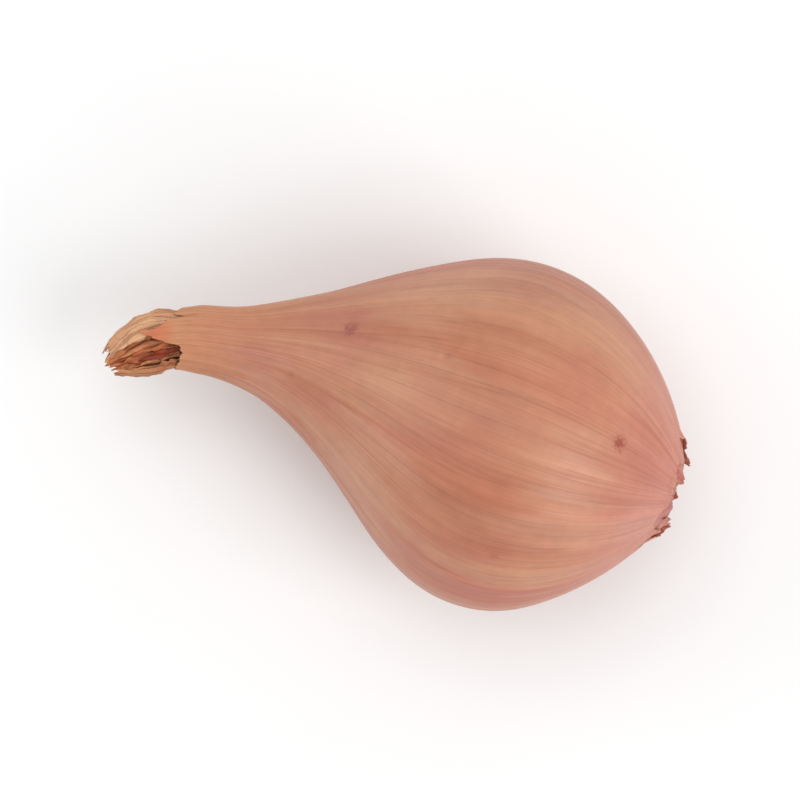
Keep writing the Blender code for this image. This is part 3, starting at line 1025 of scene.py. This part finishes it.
def straw_look():
    """Dry, ribbed, straw-coloured leaf, browner on its worn remnants."""
    look = Look("dry_straw")
    fibre = look.attribute("fibre")
    fresh = look.attribute("layer", "Fac")
    broad = look.noise(fibre, (0.25, 0.25, 0.12), 3.0)
    rib = look.noise(fibre, (1.6, 1.6, 0.10), 3.0, 0.6)
    line = look.line(look.noise(fibre, (1.1, 1.1, 0.05), 2.0), 0.035)
    fine = look.noise(fibre, (5.0, 5.0, 0.4), 3.0, 0.6)
    dirt = look.noise(look.position(), (0.8, 0.8, 0.8), 5.0, 0.65)
    paint = look.blend(colour(216, 158, 112), colour(202, 126, 86), look.spread(broad, 0.35, 0.65))
    # paler on the outside of its bend, browner at the low edge of its slit
    around = look.part(fibre, "X")
    paint = look.blend(paint, colour(230, 182, 142), look.spread(around, -1.0, 3.0, 0.0, 0.5))
    paint = look.blend(paint, colour(168, 98, 62), look.spread(around, -11.5, -14.0, 0.0, 0.6))
    paint = look.blend(paint, colour(156, 94, 60), look.spread(rib, 0.5, 0.75, 0.0, 0.55))
    paint = look.blend(paint, colour(218, 178, 136), look.spread(rib, 0.45, 0.25, 0.0, 0.5))
    paint = look.blend(paint, colour(122, 70, 44), look.maths("MULTIPLY", line, 0.5))
    paint = look.blend(paint, colour(120, 72, 46), look.spread(dirt, 0.55, 0.75, 0.0, 0.6))
    paint = look.blend(paint, colour(172, 104, 72), look.spread(fresh, 0.4, 0.0, 0.0, 0.6))
    look.set(Base_Color=paint, Roughness=look.spread(fine, 0.3, 0.7, 0.5, 0.7), IOR=1.45)
    height = look.maths("ADD", rib, look.maths("MULTIPLY", fine, 0.4))
    look.bump(look.maths("SUBTRACT", height, line), 0.12, 0.8)
    return look.material


def strip_look():
    """Dried inner strips, from red-brown to tan by each strip's tint, with painted shade where they go into
    the mouth.
    """
    look = Look("dry_brown")
    fibre = look.attribute("fibre")
    tint = look.attribute("layer", "Fac")
    rib = look.noise(fibre, (2.6, 2.6, 0.12), 3.0, 0.6)
    fine = look.noise(fibre, (8.0, 8.0, 0.5), 3.0, 0.6)
    to_brown = look.spread(tint, 0.0, 0.35, smooth=False)
    to_tan = look.spread(tint, 0.35, 0.8, smooth=False)
    paint = look.blend(colour(148, 58, 34), colour(206, 116, 70), to_brown)
    paint = look.blend(paint, colour(222, 156, 108), to_tan)
    paint = look.blend(paint, colour(96, 50, 30), look.spread(rib, 0.5, 0.72, 0.0, 0.6))
    worn = look.noise(look.position(), (1.2, 1.2, 1.2), 4.0, 0.6)
    paint = look.blend(paint, colour(118, 66, 42), look.spread(worn, 0.5, 0.7, 0.0, 0.6))
    # painted shade: darker where a strip goes into the mouth
    inside = look.spread(look.part(fibre, "Z"), 4.5, 0.5, 0.0, 0.85)
    paint = look.blend(paint, colour(84, 34, 24), inside)
    look.set(Base_Color=paint, Roughness=look.spread(fine, 0.3, 0.7, 0.5, 0.75), IOR=1.45)
    look.bump(look.maths("ADD", rib, look.maths("MULTIPLY", fine, 0.4)), 0.12, 0.8)
    return look.material


def cork_look():
    """The root plate: a pale cut face of cork with brown root threads, and painted shade in its pit and down
    its short side.
    """
    look = Look("root_cork")
    place = look.position()
    kind = look.attribute("layer", "Fac")
    grain = look.noise(place, (0.6, 0.6, 0.6), 4.0, 0.6)
    ray = look.noise(look.attribute("fibre"), (1.0, 1.0, 0.5), 4.0, 0.6)
    fine = look.noise(place, (3.5, 3.5, 3.5), 4.0, 0.6)
    paint = look.blend(colour(212, 160, 136), colour(190, 130, 108), look.spread(grain, 0.38, 0.62))
    paint = look.blend(paint, colour(168, 106, 86), look.spread(ray, 0.48, 0.7, 0.0, 0.6))
    paint = look.blend(paint, colour(132, 78, 62), look.spread(fine, 0.56, 0.76, 0.0, 0.55))
    # painted shade in the pit, and down the short side towards the back ring
    paint = look.blend(paint, colour(92, 44, 36), look.spread(kind, 0.15, 0.85, 0.0, 0.85))
    thread = look.blend(colour(166, 104, 76), colour(112, 62, 44), look.spread(fine, 0.4, 0.62))
    paint = look.blend(paint, thread, look.spread(kind, 0.0, -0.3, smooth=False))
    look.set(Base_Color=paint, Roughness=0.8)
    height = look.maths("ADD", ray, look.maths("MULTIPLY", fine, 0.5))
    look.bump(look.maths("ADD", height, grain), 0.12, 0.8)
    return look.material


# --- the studio ---
# The floor and the view are in metres. The floor lies a hair lower than what rests on it.
FLOOR_HALF = 4.0
FLOOR_DROP = 0.00002
TILT = math.radians(18.6)
FRAME_WIDTH = 0.112
LENS = 180.0
SENSOR = 36.0


def floor_look():
    look = Look("pale_floor")
    mottle = look.noise(look.position(), (0.02, 0.02, 0.02), 3.0)
    paint = look.blend(colour(250, 250, 250), colour(246, 246, 246), mottle)
    look.set(Base_Color=paint, Roughness=0.8)
    return look.material


def make_floor():
    half = FLOOR_HALF
    corners = [(-half, -half), (half, -half), (half, half), (-half, half)]
    mesh = bpy.data.meshes.new("floor")
    mesh.from_pydata([(x, y, -FLOOR_DROP) for x, y in corners], [], [(0, 1, 2, 3)])
    mesh.materials.append(floor_look())
    made = bpy.data.objects.new("floor", mesh)
    bpy.context.scene.collection.objects.link(made)


def make_camera():
    """Straight above, turned so that the shallot lies as it does in its net."""
    data = bpy.data.cameras.new("camera")
    data.lens = LENS
    data.sensor_width = SENSOR
    made = bpy.data.objects.new("camera", data)
    bpy.context.scene.collection.objects.link(made)
    middle = (CAD_LOW + CAD_HIGH) / 2
    made.location = (middle.x, middle.y, middle.z + FRAME_WIDTH * LENS / SENSOR)
    made.rotation_euler = (0, 0, TILT)
    bpy.context.scene.camera = made


def add_light(name, turn, lean, away, size, power):
    """A square lamp: its turn in the image from the right, its lean from straight above, and its distance
    and size in metres and its power in watts.
    """
    data = bpy.data.lights.new(name, "AREA")
    data.size = size
    data.energy = power
    made = bpy.data.objects.new(name, data)
    turn, lean = math.radians(turn) + TILT, math.radians(lean)
    way = Vector((math.sin(lean) * math.cos(turn), math.sin(lean) * math.sin(turn), math.cos(lean)))
    made.location = way * away
    made.rotation_euler = way.to_track_quat("Z", "Y").to_euler()
    bpy.context.scene.collection.objects.link(made)


def make_studio():
    """Even light from all round, and three large soft lamps."""
    world = bpy.data.worlds.new("studio")
    world.use_nodes = True
    back = world.node_tree.nodes["Background"]
    back.inputs["Color"].default_value = (1.0, 1.0, 1.0, 1.0)
    back.inputs["Strength"].default_value = 0.66
    bpy.context.scene.world = world
    add_light("key", -25, 48, 1.6, 1.0, 9.6)
    add_light("top", 100, 20, 1.6, 1.2, 5.4)
    add_light("fill", 160, 62, 1.6, 1.0, 2.8)
    bpy.context.scene.view_settings.view_transform = "Standard"


# --- put together ---
skin = skin_look()
settle(make_skin(skin), "skin", "bulb")
settle(make_root_flaps(skin), "skin")
settle(make_edge_lips(skin), "skin")
settle(make_neck_sheath(straw_look()), "dry_sheath", "neck_sheath")
for leaf, strips in make_neck_leaves(strip_look()).items():
    settle(strips, "dry_leaf", leaf)
settle(make_root_plate(cork_look()), "root_cork", "root_plate")
make_floor()
make_camera()
make_studio()
